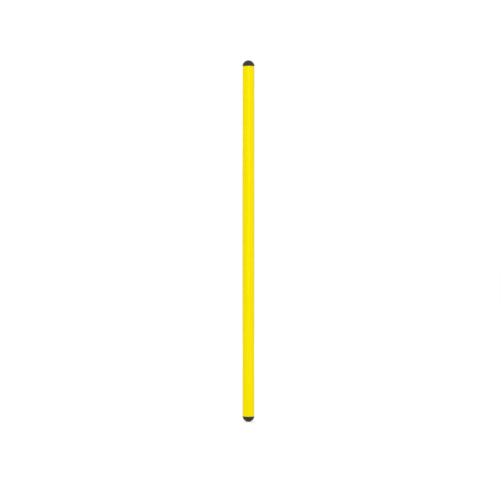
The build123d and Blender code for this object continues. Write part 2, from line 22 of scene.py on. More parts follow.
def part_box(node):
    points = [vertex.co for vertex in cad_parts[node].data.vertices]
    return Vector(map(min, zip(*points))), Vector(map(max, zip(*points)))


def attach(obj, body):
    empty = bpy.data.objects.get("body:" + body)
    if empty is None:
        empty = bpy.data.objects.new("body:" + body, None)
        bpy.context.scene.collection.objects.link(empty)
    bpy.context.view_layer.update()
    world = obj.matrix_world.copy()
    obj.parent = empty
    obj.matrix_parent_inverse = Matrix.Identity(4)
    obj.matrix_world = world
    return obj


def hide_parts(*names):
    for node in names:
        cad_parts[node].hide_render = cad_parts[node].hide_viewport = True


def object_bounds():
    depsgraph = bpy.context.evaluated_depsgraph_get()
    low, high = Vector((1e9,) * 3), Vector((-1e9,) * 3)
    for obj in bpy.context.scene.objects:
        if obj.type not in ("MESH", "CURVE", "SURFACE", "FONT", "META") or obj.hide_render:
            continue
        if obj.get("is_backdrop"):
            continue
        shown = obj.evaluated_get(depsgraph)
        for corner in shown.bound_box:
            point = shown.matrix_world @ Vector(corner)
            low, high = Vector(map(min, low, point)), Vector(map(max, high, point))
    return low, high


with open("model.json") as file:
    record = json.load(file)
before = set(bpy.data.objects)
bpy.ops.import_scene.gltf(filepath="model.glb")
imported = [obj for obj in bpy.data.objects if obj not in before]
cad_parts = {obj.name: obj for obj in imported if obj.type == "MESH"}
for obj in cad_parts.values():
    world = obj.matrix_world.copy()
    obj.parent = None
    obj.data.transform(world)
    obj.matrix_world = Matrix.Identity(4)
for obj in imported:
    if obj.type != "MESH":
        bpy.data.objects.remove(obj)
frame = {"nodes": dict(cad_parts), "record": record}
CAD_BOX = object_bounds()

LOG = logging.getLogger("roller_pole")
MM = 0.001
SMOOTH_BELOW = math.radians(32)
ON_AXIS = 1e-7  # metres from the axis at which a ring of the outline is one point

# Inputs and outputs of a Mix node that share one name, by number.
SHARE = 0
FLOAT_A, FLOAT_B = 2, 3
COLOUR_A, COLOUR_B = 6, 7
COLOUR_OUT = 2

Outline = list[tuple[float, float]]  # radius and height of each point, in millimetres
Window = tuple[float, float]  # where a pattern starts to show and where it is full


class Body(Enum):
    """The CAD bodies that the turned pieces ride on."""

    OUTER_POLE = "outer_pole"
    INNER_POLE = "inner_pole"
    LOCK_CAGE = "lock_cage"
    TIP_CAP = "tip_cap"


class Slot(Enum):
    """The record's material slots."""

    YELLOW_FIBREGLASS = "yellow_fibreglass"
    CHARCOAL_CAP = "charcoal_cap"
    PAD_FOAM = "pad_foam"
    BLACK_ACETAL = "black_acetal"
    NITRILE_RUBBER = "nitrile_rubber"
    ANODISED_ALUMINIUM = "anodised_aluminium"
    DIE_CAST_METAL = "die_cast_metal"
    SPRING_STEEL = "spring_steel"
    ZINC_PLATED_STEEL = "zinc_plated_steel"
    BLUE_NYLON = "blue_nylon"
    GREY_NYLON = "grey_nylon"
    NATURAL_ACETAL = "natural_acetal"
    RED_SHOE_PLASTIC = "red_shoe_plastic"


def linear(hex_colour: str) -> tuple[float, float, float, float]:
    """Turns an sRGB colour into the linear one that shaders take.

    Args:
        hex_colour: Six hex digits after a hash sign.

    Returns:
        Linear red, green, blue and an alpha of 1.
    """
    channels = [int(hex_colour[i : i + 2], 16) / 255 for i in (1, 3, 5)]
    # The sRGB curve is straight near black and a power above it.
    red, green, blue = (c / 12.92 if c <= 0.04045 else ((c + 0.055) / 1.055) ** 2.4 for c in channels)
    return red, green, blue, 1.0


def add_node(
    tree: bpy.types.NodeTree,
    kind: str,
    settings: dict[str | int, Any] | None = None,
    links: dict[str | int, bpy.types.NodeSocket] | None = None,
) -> bpy.types.Node:
    """Adds a node with its settings and links.

    Args:
        tree: The node tree to add to.
        kind: Blender's name for the node's type.
        settings: Values by input name or number, or by the node's own property.
        links: The socket that feeds each input.

    Returns:
        The new node.
    """
    node = tree.nodes.new(kind)
    for key, value in (settings or {}).items():
        if isinstance(key, int) or key in node.inputs:
            node.inputs[key].default_value = value
        else:
            setattr(node, key, value)
    for key, socket in (links or {}).items():
        tree.links.new(socket, node.inputs[key])
    return node


@dataclass(frozen=True)
class Finish(ABC):
    """A finish: a real material and how its surface was made.

    Sizes of patterns are in millimetres. A window gives the two levels between which a pattern fades in.
    """

    name: str
    slot: Slot
    colour: str

    @abstractmethod
    def surface(self, tree: bpy.types.NodeTree, place: bpy.types.NodeSocket) -> bpy.types.Node:
        """Builds the nodes of the surface.

        Args:
            tree: The material's node tree.
            place: Object coordinates in millimetres.

        Returns:
            The shader node.
        """

    def make(self) -> bpy.types.Material:
        """Makes the material.

        Returns:
            The finished material.
        """
        material = bpy.data.materials.new(self.name)
        material.use_nodes = True
        material.diffuse_color = linear(self.colour)
        tree = material.node_tree
        tree.nodes.clear()
        where = add_node(tree, "ShaderNodeTexCoord")
        place = add_node(
            tree,
            "ShaderNodeVectorMath",
            {"operation": "SCALE", "Scale": 1 / MM},
            {0: where.outputs["Object"]},
        )
        shader = self.surface(tree, place.outputs["Vector"])
        add_node(tree, "ShaderNodeOutputMaterial", links={"Surface": shader.outputs[0]})
        return material

    def _tinted(
        self,
        tree: bpy.types.NodeTree,
        pattern: bpy.types.NodeSocket,
        window: Window,
        shares: Window,
        tint: str,
    ) -> bpy.types.NodeSocket:
        """Fades a second colour in over the finish's own one, where a pattern is in its window.

        Args:
            tree: The material's node tree.
            pattern: The pattern's level.
            window: The two levels between which it fades.
            shares: The second colour's share at each of them.
            tint: The second colour.

        Returns:
            The mixed colour.
        """
        share = add_node(
            tree,
            "ShaderNodeMapRange",
            {"From Min": window[0], "From Max": window[1], "To Min": shares[0], "To Max": shares[1]},
            {"Value": pattern},
        )
        mixed = add_node(
            tree,
            "ShaderNodeMix",
            {"data_type": "RGBA", COLOUR_A: linear(self.colour), COLOUR_B: linear(tint)},
            {SHARE: share.outputs[0]},
        )
        return mixed.outputs[COLOUR_OUT]

    def _coat(
        self,
        tree: bpy.types.NodeTree,
        colour: bpy.types.NodeSocket,
        height: bpy.types.NodeSocket,
        relief: tuple[float, float],
        shine: dict[str, Any],
        roughness: bpy.types.NodeSocket | None = None,
    ) -> bpy.types.Node:
        """Joins colour, relief and shine into the surface.

        Args:
            tree: The material's node tree.
            colour: The surface's colour.
            height: The pattern that stands up from it.
            relief: The relief's strength, and its depth in millimetres.
            shine: The shader's own values.
            roughness: A roughness that changes over the surface, if it does.

        Returns:
            The shader node.
        """
        strength, depth = relief
        raised = add_node(
            tree, "ShaderNodeBump", {"Strength": strength, "Distance": depth * MM}, {"Height": height}
        )
        links = {"Base Color": colour, "Normal": raised.outputs["Normal"]}
        if roughness:
            links["Roughness"] = roughness
        return add_node(tree, "ShaderNodeBsdfPrincipled", shine, links)


@dataclass(frozen=True)
class PultrudedFibreglass(Finish):
    """Polyester resin and glass rovings pulled through a heated die, pigmented right through.

    It gives an even, saturated colour and a satin skin. Rovings show as lengthwise streaks under the skin,
    and hooks and hands have left fine rub marks across it.
    """

    roving_colour: str = "#EDCB00"
    roving_width: float = 1.5  # real rovings lie 0.5 mm apart, coarsened so that they show
    roving_length: float = 240.0
    roving_window: Window = (0.48, 0.8)
    roving_share: float = 0.55
    veil_size: float = 2.2  # the swirl of the surface veil under the resin skin
    veil_window: Window = (0.5, 0.75)
    veil_share: float = 0.16
    die_line_width: float = 0.8
    die_line_length: float = 480.0
    die_line_depth: float = 0.03
    rub_colour: str = "#FFF48C"
    rub_width: float = 0.5
    rub_length: float = 22.0
    rub_tilt: tuple[float, float, float] = (0.05, 0.08, 0.0)
    rub_window: Window = (0.62, 0.74)
    rub_share: float = 0.3
    rub_patch: float = 48.0
    rub_patch_window: Window = (0.48, 0.6)
    rub_dulls_at: float = 0.5  # the share of marks at which the skin has lost its gloss
    sheen_colour: str = "#FFF04A"  # a satin skin takes its sheen from the pigment just under it
    sheen_level: float = 0.24
    resin_ior: float = 1.5
    gloss_roughness: float = 0.3
    rubbed_roughness: float = 0.5

    def surface(self, tree: bpy.types.NodeTree, place: bpy.types.NodeSocket) -> bpy.types.Node:
        """Builds rovings, the veil, die lines and rub marks.

        Args:
            tree: The material's node tree.
            place: Object coordinates in millimetres.

        Returns:
            The shader node.
        """
        rubs = self._rubs(tree, place)
        colour = add_node(
            tree,
            "ShaderNodeMix",
            {"data_type": "RGBA", COLOUR_B: linear(self.rub_colour)},
            {SHARE: rubs.outputs[0], COLOUR_A: self._pigment(tree, place).outputs[COLOUR_OUT]},
        )
        roughness = add_node(
            tree,
            "ShaderNodeMapRange",
            {"From Max": self.rub_dulls_at, "To Min": self.gloss_roughness, "To Max": self.rubbed_roughness},
            {"Value": rubs.outputs[0]},
        )
        drawn = add_node(
            tree,
            "ShaderNodeMapping",
            {"Scale": (1 / self.die_line_width, 1 / self.die_line_width, 1 / self.die_line_length)},
            {"Vector": place},
        )
        die_lines = add_node(
            tree, "ShaderNodeTexNoise", {"Scale": 1.0, "Detail": 2.0}, {"Vector": drawn.outputs[0]}
        )
        return self._coat(
            tree,
            colour.outputs[COLOUR_OUT],
            die_lines.outputs["Fac"],
            (0.7, self.die_line_depth),
            {
                "Specular IOR Level": self.sheen_level,
                "IOR": self.resin_ior,
                "Specular Tint": linear(self.sheen_colour),
            },
            roughness.outputs[0],
        )

    def _pigment(self, tree: bpy.types.NodeTree, place: bpy.types.NodeSocket) -> bpy.types.Node:
        """The resin's colour, with rovings and the veil showing through.

        Args:
            tree: The material's node tree.
            place: Object coordinates in millimetres.

        Returns:
            The colour mix.
        """
        drawn = add_node(
            tree,
            "ShaderNodeMapping",
            {"Scale": (1 / self.roving_width, 1 / self.roving_width, 1 / self.roving_length)},
            {"Vector": place},
        )
        rovings = add_node(
            tree,
            "ShaderNodeTexNoise",
            {"Scale": 1.0, "Detail": 4.0, "Roughness": 0.6},
            {"Vector": drawn.outputs[0]},
        )
        rovings_show = add_node(
            tree,
            "ShaderNodeMapRange",
            {
                "From Min": self.roving_window[0],
                "From Max": self.roving_window[1],
                "To Max": self.roving_share,
            },
            {"Value": rovings.outputs["Fac"]},
        )
        veil = add_node(
            tree,
            "ShaderNodeTexNoise",
            {"Scale": 1 / self.veil_size, "Detail": 5.0, "Distortion": 1.4},
            {"Vector": place},
        )
        veil_shows = add_node(
            tree,
            "ShaderNodeMapRange",
            {"From Min": self.veil_window[0], "From Max": self.veil_window[1], "To Max": self.veil_share},
            {"Value": veil.outputs["Fac"]},
        )
        share = add_node(
            tree,
            "ShaderNodeMath",
            {"operation": "ADD", "use_clamp": True},
            {0: rovings_show.outputs[0], 1: veil_shows.outputs[0]},
        )
        return add_node(
            tree,
            "ShaderNodeMix",
            {"data_type": "RGBA", COLOUR_A: linear(self.colour), COLOUR_B: linear(self.roving_colour)},
            {SHARE: share.outputs[0]},
        )

    def _rubs(self, tree: bpy.types.NodeTree, place: bpy.types.NodeSocket) -> bpy.types.Node:
        """Fine marks across the draw, in patches.

        Args:
            tree: The material's node tree.
            place: Object coordinates in millimetres.

        Returns:
            A node whose output is the share of the rubbed colour.
        """
        across = add_node(
            tree,
            "ShaderNodeMapping",
            {
                "Scale": (1 / self.rub_length, 1 / self.rub_length, 1 / self.rub_width),
                "Rotation": self.rub_tilt,
            },
            {"Vector": place},
        )
        marks = add_node(
            tree, "ShaderNodeTexNoise", {"Scale": 1.0, "Detail": 3.0}, {"Vector": across.outputs[0]}
        )
        marked = add_node(
            tree,
            "ShaderNodeMapRange",
            {"From Min": self.rub_window[0], "From Max": self.rub_window[1], "To Max": self.rub_share},
            {"Value": marks.outputs["Fac"]},
        )
        patches = add_node(
            tree, "ShaderNodeTexNoise", {"Scale": 1 / self.rub_patch, "Detail": 2.0}, {"Vector": place}
        )
        patched = add_node(
            tree,
            "ShaderNodeMapRange",
            {"From Min": self.rub_patch_window[0], "From Max": self.rub_patch_window[1]},
            {"Value": patches.outputs["Fac"]},
        )
        return add_node(
            tree,
            "ShaderNodeMath",
            {"operation": "MULTIPLY"},
            {0: marked.outputs[0], 1: patched.outputs[0]},
        )


@dataclass(frozen=True)
class SawnFibreglass(Finish):
    """The same stock where the saw or the die's core left it bare: pale, dry and full of fibre ends."""

    fibre_colour: str = "#F3EBAE"
    fibre_size: float = 0.35
    fibre_window: Window = (0.1, 0.7)
    fibre_shares: Window = (0.8, 0.1)  # in the middle of a fibre's end, and between the ends
    fibre_depth: float = 0.05

    def surface(self, tree: bpy.types.NodeTree, place: bpy.types.NodeSocket) -> bpy.types.Node:
        """Builds speckled fibre ends.

        Args:
            tree: The material's node tree.
            place: Object coordinates in millimetres.

        Returns:
            The shader node.
        """
        ends = add_node(tree, "ShaderNodeTexVoronoi", {"Scale": 1 / self.fibre_size}, {"Vector": place})
        colour = self._tinted(
            tree, ends.outputs["Distance"], self.fibre_window, self.fibre_shares, self.fibre_colour
        )
        return self._coat(
            tree,
            colour,
            ends.outputs["Distance"],
            (0.5, self.fibre_depth),
            {"Roughness": 0.75},
        )


@dataclass(frozen=True)
class MouldedVinyl(Finish):
    """Soft charcoal PVC from a spark-eroded mould: a fine even grain, a low sheen and a grey bloom in places.

    Below the scuff height the surface is also dusty and scratched from standing on floors.
    """

    bloom_colour: str = "#3A3A37"
    bloom_size: float = 9.0
    bloom_window: Window = (0.4, 0.75)
    bloom_share: float = 0.8
    grain: float = 0.9  # a real spark-eroded grain is 0.15 mm, coarsened so that it shows
    grain_depth: float = 0.06
    grain_window: Window = (0.3, 0.7)
    skin_roughness: Window = (0.46, 0.66)
    sheen_level: float = 0.35
    vinyl_ior: float = 1.5
    scuff_colour: str = "#63605A"
    scuff_size: float = 1.2
    scuff_height: float = 0.0
    scuff_window: Window = (0.45, 0.65)
    scuff_share: float = 0.5

    def surface(self, tree: bpy.types.NodeTree, place: bpy.types.NodeSocket) -> bpy.types.Node:
        """Builds grain, bloom and scuffs.

        Args:
            tree: The material's node tree.
            place: Object coordinates in millimetres.

        Returns:
            The shader node.
        """
        bloom = add_node(
            tree,
            "ShaderNodeTexNoise",
            {"Scale": 1 / self.bloom_size, "Detail": 5.0, "Roughness": 0.65},
            {"Vector": place},
        )
        colour = self._tinted(
            tree, bloom.outputs["Fac"], self.bloom_window, (0.0, self.bloom_share), self.bloom_colour
        )
        if self.scuff_height:
            scuffs = self._scuffs(tree, place)
            colour = add_node(
                tree,
                "ShaderNodeMix",
                {"data_type": "RGBA", COLOUR_B: linear(self.scuff_colour)},
                {SHARE: scuffs.outputs[0], COLOUR_A: colour},
            ).outputs[COLOUR_OUT]
        grain = add_node(
            tree,
            "ShaderNodeTexNoise",
            {"Scale": 1 / self.grain, "Detail": 4.0, "Roughness": 0.6},
            {"Vector": place},
        )
        roughness = add_node(
            tree,
            "ShaderNodeMapRange",
            {
                "From Min": self.grain_window[0],
                "From Max": self.grain_window[1],
                "To Min": self.skin_roughness[0],
                "To Max": self.skin_roughness[1],
            },
            {"Value": grain.outputs["Fac"]},
        )
        return self._coat(
            tree,
            colour,
            grain.outputs["Fac"],
            (0.7, self.grain_depth),
            {"Specular IOR Level": self.sheen_level, "IOR": self.vinyl_ior},
            roughness.outputs[0],
        )

    def _scuffs(self, tree: bpy.types.NodeTree, place: bpy.types.NodeSocket) -> bpy.types.Node:
        """Dust and scratches that thin out upwards.

        Args:
            tree: The material's node tree.
            place: Object coordinates in millimetres.

        Returns:
            A node whose output is the share of the scuffed colour.
        """
        parts = add_node(tree, "ShaderNodeSeparateXYZ", links={0: place})
        low = add_node(
            tree,
            "ShaderNodeMapRange",
            {"From Max": self.scuff_height, "To Min": 1.0, "To Max": 0.0},
            {"Value": parts.outputs["Z"]},
        )
        dust = add_node(
            tree,
            "ShaderNodeTexNoise",
            {"Scale": 1 / self.scuff_size, "Detail": 5.0, "Roughness": 0.7},
            {"Vector": place},
        )
        dusty = add_node(
            tree,
            "ShaderNodeMapRange",
            {"From Min": self.scuff_window[0], "From Max": self.scuff_window[1], "To Max": self.scuff_share},
            {"Value": dust.outputs["Fac"]},
        )
        return add_node(
            tree, "ShaderNodeMath", {"operation": "MULTIPLY"}, {0: low.outputs[0], 1: dusty.outputs[0]}
        )


@dataclass(frozen=True)
class ClosedCellFoam(Finish):
    """Foamed rubber cut from sheet: dull, with open half-bubbles where the knife went through the cells,
    their hollows painted darker as painted shade.
    """

    cell_size: float = 0.9
    # painted shade: the colour of the hollows of the cut cells, darkest where the relief sinks
    painted_cell_shade: str = "#0E0E10"
    cell_window: Window = (0.15, 0.5)
    cell_depth: float = 0.3

    def surface(self, tree: bpy.types.NodeTree, place: bpy.types.NodeSocket) -> bpy.types.Node:
        """Builds cut cells, with painted shade in their hollows.

        Args:
            tree: The material's node tree.
            place: Object coordinates in millimetres.

        Returns:
            The shader node.
        """
        cells = add_node(tree, "ShaderNodeTexVoronoi", {"Scale": 1 / self.cell_size}, {"Vector": place})
        depth = add_node(
            tree,
            "ShaderNodeMapRange",
            {"From Min": self.cell_window[0], "From Max": self.cell_window[1]},
            {"Value": cells.outputs["Distance"]},
        )
        # The cells' hollows are painted darker than the foam: painted shade in the recesses.
        colour = add_node(
            tree,
            "ShaderNodeMix",
            {"data_type": "RGBA", COLOUR_A: linear(self.painted_cell_shade), COLOUR_B: linear(self.colour)},
            {SHARE: depth.outputs[0]},
        )
        return self._coat(
            tree,
            colour.outputs[COLOUR_OUT],
            depth.outputs[0],
            (0.8, self.cell_depth),
            {"Roughness": 0.92, "Sheen Weight": 0.1},
        )


@dataclass(frozen=True)
class NitrileRubber(Finish):
    """Compression-moulded rubber rings: black and soft, with talc left in patches."""

    talc_colour: str = "#343436"
    talc_size: float = 1.8
    talc_window: Window = (0.5, 0.75)
    talc_share: float = 0.7
    skin_roughness: Window = (0.45, 0.75)
    skin_depth: float = 0.02

    def surface(self, tree: bpy.types.NodeTree, place: bpy.types.NodeSocket) -> bpy.types.Node:
        """Builds talc patches and a fine relief.

        Args:
            tree: The material's node tree.
            place: Object coordinates in millimetres.

        Returns:
            The shader node.
        """
        talc = add_node(
            tree, "ShaderNodeTexNoise", {"Scale": 1 / self.talc_size, "Detail": 4.0}, {"Vector": place}
        )
        colour = self._tinted(
            tree, talc.outputs["Fac"], self.talc_window, (0.0, self.talc_share), self.talc_colour
        )
        roughness = add_node(
            tree,
            "ShaderNodeMapRange",
            {"To Min": self.skin_roughness[0], "To Max": self.skin_roughness[1]},
            {"Value": talc.outputs["Fac"]},
        )
        return self._coat(
            tree,
            colour,
            talc.outputs["Fac"],
            (0.4, self.skin_depth),
            {"Specular IOR Level": 0.4},
            roughness.outputs[0],
        )


@dataclass(frozen=True)
class MouldedPlastic(Finish):
    """An engineering plastic from an injection mould: satin, with faint flow marks.

    Where it is filled with glass, pale flecks of it show.
    """

    flow_colour: str = "#000000"
    flow_size: float = 5.0
    flow_window: Window = (0.4, 0.8)
    flow_share: float = 0.6
    fleck_share: float = 0.0
    fleck_size: float = 0.6
    fleck_window: Window = (0.05, 0.3)
    fleck_depth: float = 0.02
    skin_roughness: float = 0.36
    roughness_spread: Window = (-0.06, 0.1)

    def surface(self, tree: bpy.types.NodeTree, place: bpy.types.NodeSocket) -> bpy.types.Node:
        """Builds flow marks, flecks and a light texture.

        Args:
            tree: The material's node tree.
            place: Object coordinates in millimetres.

        Returns:
            The shader node.
        """
        flow = add_node(
            tree,
            "ShaderNodeTexNoise",
            {"Scale": 1 / self.flow_size, "Detail": 3.0, "Distortion": 1.5},
            {"Vector": place},
        )
        flow_shows = add_node(
            tree,
            "ShaderNodeMapRange",
            {"From Min": self.flow_window[0], "From Max": self.flow_window[1], "To Max": self.flow_share},
            {"Value": flow.outputs["Fac"]},
        )
        flecks = add_node(tree, "ShaderNodeTexVoronoi", {"Scale": 1 / self.fleck_size}, {"Vector": place})
        flecks_show = add_node(
            tree,
            "ShaderNodeMapRange",
            {
                "From Min": self.fleck_window[0],
                "From Max": self.fleck_window[1],
                "To Min": self.fleck_share,
                "To Max": 0.0,
            },
            {"Value": flecks.outputs["Distance"]},
        )
        share = add_node(
            tree,
            "ShaderNodeMath",
            {"operation": "ADD", "use_clamp": True},
            {0: flow_shows.outputs[0], 1: flecks_show.outputs[0]},
        )
        colour = add_node(
            tree,
            "ShaderNodeMix",
            {"data_type": "RGBA", COLOUR_A: linear(self.colour), COLOUR_B: linear(self.flow_colour)},
            {SHARE: share.outputs[0]},
        )
        roughness = add_node(
            tree,
            "ShaderNodeMapRange",
            {
                "To Min": self.skin_roughness + self.roughness_spread[0],
                "To Max": self.skin_roughness + self.roughness_spread[1],
            },
            {"Value": flow.outputs["Fac"]},
        )
        return self._coat(
            tree,
            colour.outputs[COLOUR_OUT],
            flecks.outputs["Distance"],
            (0.4, self.fleck_depth),
            {"Specular IOR Level": 0.45},
            roughness.outputs[0],
        )


@dataclass(frozen=True)
class DrawnAluminium(Finish):
    """Drawn and clear-anodised tube: a soft silver with fine lines along the draw and rub marks round it."""

    shade_colour: str = "#A9ACB0"
    shade_share: float = 0.7
    line_width: float = 1.1  # real lines are 0.1 mm apart, coarsened so that they show
    line_length: float = 180.0
    line_window: Window = (0.35, 0.75)
    line_depth: float = 0.01
    rub_size: float = 30.0
    rub_window: Window = (0.4, 0.7)
    skin_roughness: Window = (0.26, 0.42)

    def surface(self, tree: bpy.types.NodeTree, place: bpy.types.NodeSocket) -> bpy.types.Node:
        """Builds draw lines and rub marks.

        Args:
            tree: The material's node tree.
            place: Object coordinates in millimetres.

        Returns:
            The shader node.
        """
        drawn = add_node(
            tree,
            "ShaderNodeMapping",
            {"Scale": (1 / self.line_width, 1 / self.line_width, 1 / self.line_length)},
            {"Vector": place},
        )
        lines = add_node(
            tree,
            "ShaderNodeTexNoise",
            {"Scale": 1.0, "Detail": 4.0, "Roughness": 0.6},
            {"Vector": drawn.outputs[0]},
        )
        colour = self._tinted(
            tree, lines.outputs["Fac"], self.line_window, (0.0, self.shade_share), self.shade_colour
        )
        rubs = add_node(
            tree,
            "ShaderNodeTexNoise",
            {"Scale": 1 / self.rub_size, "Detail": 6.0, "Roughness": 0.7},
            {"Vector": place},
        )
        roughness = add_node(
            tree,
            "ShaderNodeMapRange",
            {
                "From Min": self.rub_window[0],
                "From Max": self.rub_window[1],
                "To Min": self.skin_roughness[0],
                "To Max": self.skin_roughness[1],
            },
            {"Value": rubs.outputs["Fac"]},
        )
        return self._coat(
            tree,
            colour,
            lines.outputs["Fac"],
            (0.5, self.line_depth),
            {"Metallic": 1.0, "Anisotropic": 0.35},
            roughness.outputs[0],
        )


@dataclass(frozen=True)
class DieCastAlloy(Finish):
    """Die-cast and tumbled alloy: a dull silver, softly pitted, with darker clouding."""

    shade_colour: str = "#8E9093"
    cloud_size: float = 6.0
    pit_size: float = 0.7
    pit_window: Window = (0.3, 0.7)
    pit_depth: float = 0.03
    skin_roughness: Window = (0.32, 0.5)

    def surface(self, tree: bpy.types.NodeTree, place: bpy.types.NodeSocket) -> bpy.types.Node:
        """Builds pits and clouding.

        Args:
            tree: The material's node tree.
            place: Object coordinates in millimetres.

        Returns:
            The shader node.
        """
        cloud = add_node(
            tree, "ShaderNodeTexNoise", {"Scale": 1 / self.cloud_size, "Detail": 5.0}, {"Vector": place}
        )
        colour = add_node(
            tree,
            "ShaderNodeMix",
            {"data_type": "RGBA", COLOUR_A: linear(self.colour), COLOUR_B: linear(self.shade_colour)},
            {SHARE: cloud.outputs["Fac"]},
        )
        pits = add_node(
            tree, "ShaderNodeTexNoise", {"Scale": 1 / self.pit_size, "Detail": 3.0}, {"Vector": place}
        )
        roughness = add_node(
            tree,
            "ShaderNodeMapRange",
            {
                "From Min": self.pit_window[0],
                "From Max": self.pit_window[1],
                "To Min": self.skin_roughness[0],
                "To Max": self.skin_roughness[1],
            },
            {"Value": pits.outputs["Fac"]},
        )
        return self._coat(
            tree,
            colour.outputs[COLOUR_OUT],
            pits.outputs["Fac"],
            (0.6, self.pit_depth),
            {"Metallic": 1.0},
            roughness.outputs[0],
        )


@dataclass(frozen=True)
class SmallSteel(Finish):
    """Small steel hardware, zinc plated or oiled: bright or dark metal with a tinted film and tool marks."""

    film_colour: str = "#C9C2A8"
    film_size: float = 3.5
    film_window: Window = (0.45, 0.75)
    film_share: float = 0.6
    mark_size: float = 0.5
    mark_window: Window = (0.3, 0.7)
    mark_depth: float = 0.01
    low_roughness: float = 0.22
    high_roughness: float = 0.4

    def surface(self, tree: bpy.types.NodeTree, place: bpy.types.NodeSocket) -> bpy.types.Node:
        """Builds a patchy film and tool marks.

        Args:
            tree: The material's node tree.
            place: Object coordinates in millimetres.

        Returns:
            The shader node.
        """
        film = add_node(
            tree, "ShaderNodeTexNoise", {"Scale": 1 / self.film_size, "Detail": 3.0}, {"Vector": place}
        )
        colour = self._tinted(
            tree, film.outputs["Fac"], self.film_window, (0.0, self.film_share), self.film_colour
        )
        marks = add_node(
            tree, "ShaderNodeTexNoise", {"Scale": 1 / self.mark_size, "Detail": 2.0}, {"Vector": place}
        )
        roughness = add_node(
            tree,
            "ShaderNodeMapRange",
            {
                "From Min": self.mark_window[0],
                "From Max": self.mark_window[1],
                "To Min": self.low_roughness,
                "To Max": self.high_roughness,
            },
            {"Value": marks.outputs["Fac"]},
        )
        return self._coat(
            tree,
            colour,
            marks.outputs["Fac"],
            (0.4, self.mark_depth),
            {"Metallic": 1.0},
            roughness.outputs[0],
        )


@dataclass
class Turning:
    """A body of revolution about the pole's axis, turned from a half section.

    The outline runs once round the half section, in millimetres.
    """

    name: str
    outline: Outline
    segments: int = 128

    def piece(self) -> bpy.types.Object:
        """Turns the outline into a closed mesh.

        Returns:
            The new object, in metres in the row frame.
        """
        shape = bmesh.new()
        rings = [self._ring(shape, radius * MM, height * MM) for radius, height in self.outline]
        for lower, upper in zip(rings, rings[1:] + rings[:1]):
            self._band(shape, lower, upper)
        bmesh.ops.recalc_face_normals(shape, faces=shape.faces)
        mesh = bpy.data.meshes.new(self.name)
        shape.to_mesh(mesh)
        shape.free()
        made = bpy.data.objects.new(self.name, mesh)
        bpy.context.scene.collection.objects.link(made)
        soften(made)
        return made

    def _ring(self, shape: bmesh.types.BMesh, radius: float, height: float) -> list[bmesh.types.BMVert]:
        """One ring of vertices, or a single one on the axis.

        Args:
            shape: The mesh to add to.
            radius: The ring's radius, in metres.
            height: Its height, in metres.

        Returns:
            The ring's vertices in order.
        """
        if radius < ON_AXIS:
            return [shape.verts.new((0, 0, height))]
        turns = [2 * math.pi * k / self.segments for k in range(self.segments)]
        return [shape.verts.new((radius * math.cos(t), radius * math.sin(t), height)) for t in turns]

    def _band(
        self, shape: bmesh.types.BMesh, lower: list[bmesh.types.BMVert], upper: list[bmesh.types.BMVert]
    ) -> None:
        """The faces between two rings, either of which may be a point on the axis.

        Args:
            shape: The mesh to add to.
            lower: The first ring.
            upper: The next ring along the outline.
        """
        if len(lower) == 1 and len(upper) == 1:
            return
        for k in range(self.segments):
            after = (k + 1) % self.segments
            low_side = [lower[k % len(lower)], lower[after % len(lower)]]
            high_side = [upper[after % len(upper)], upper[k % len(upper)]]
            shape.faces.new(list(dict.fromkeys(low_side + high_side)))


def soften(piece: bpy.types.Object) -> None:
    """Shades a mesh smooth, apart from its real edges."""
    piece.data.polygons.foreach_set("use_smooth", [True] * len(piece.data.polygons))
    piece.data.set_sharp_from_angle(angle=SMOOTH_BELOW)


def arc(centre: tuple[float, float], radius: float, start: float, end: float, steps: int) -> Outline:
    """Points along an arc of a half section.

    Args:
        centre: The arc's centre, as radius and height.
        radius: The arc's radius.
        start: Where it starts, in degrees from outwards towards up.
        end: Where it ends.
        steps: How many parts it has.

    Returns:
        The points, both ends included.
    """
    angles = [math.radians(start + (end - start) * k / steps) for k in range(steps + 1)]
    return [(centre[0] + radius * math.cos(a), centre[1] + radius * math.sin(a)) for a in angles]


def tube_outline(
    radius: float, bore: float, bottom: float, top: float, rim: float, stretches: int
) -> Outline:
    """The half section of a tube that is cut square, with its outer rims broken.

    Args:
        radius: The tube's outside radius.
        bore: Its inside radius.
        bottom: The height of its lower end.
        top: The height of its upper end.
        rim: How far each rim is broken back.
        stretches: How many parts the outside has along its length.

    Returns:
        The points, once round.
    """
    low = bottom + rim
    high = top - rim
    return [
        (radius - rim, bottom),
        *[(radius, low + (high - low) * k / stretches) for k in range(stretches)],
        (radius, high),
        (radius - rim, top),
        (bore, top),
        (bore, bottom),
    ]


def span(node: str) -> tuple[float, float, float]:
    """A node's outer radius, bottom and top in millimetres, from its CAD box."""
    low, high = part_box(node)
    return high.x / MM, low.z / MM, high.z / MM


def travel(joint: str) -> float:
    """How far a sliding joint goes from rest to its upper limit, in millimetres."""
    rows = frame["record"]["behaviour"]["joints"]
    return next(row["range_m"][1] for row in rows if row["name"] == joint) / MM


def settle(
    piece: bpy.types.Object, body: Body, node: str, finishes: list[bpy.types.Material]
) -> None:
    """Gives a turned piece its finishes and body, and lets it stand for its CAD node.

    Args:
        piece: The turned piece.
        body: The CAD body that it rides on.
        node: The CAD node that it stands for.
        finishes: Its materials, the main one first.
    """
    for material in finishes:
        piece.data.materials.append(material)
    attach(piece, body.value)
    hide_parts(node)


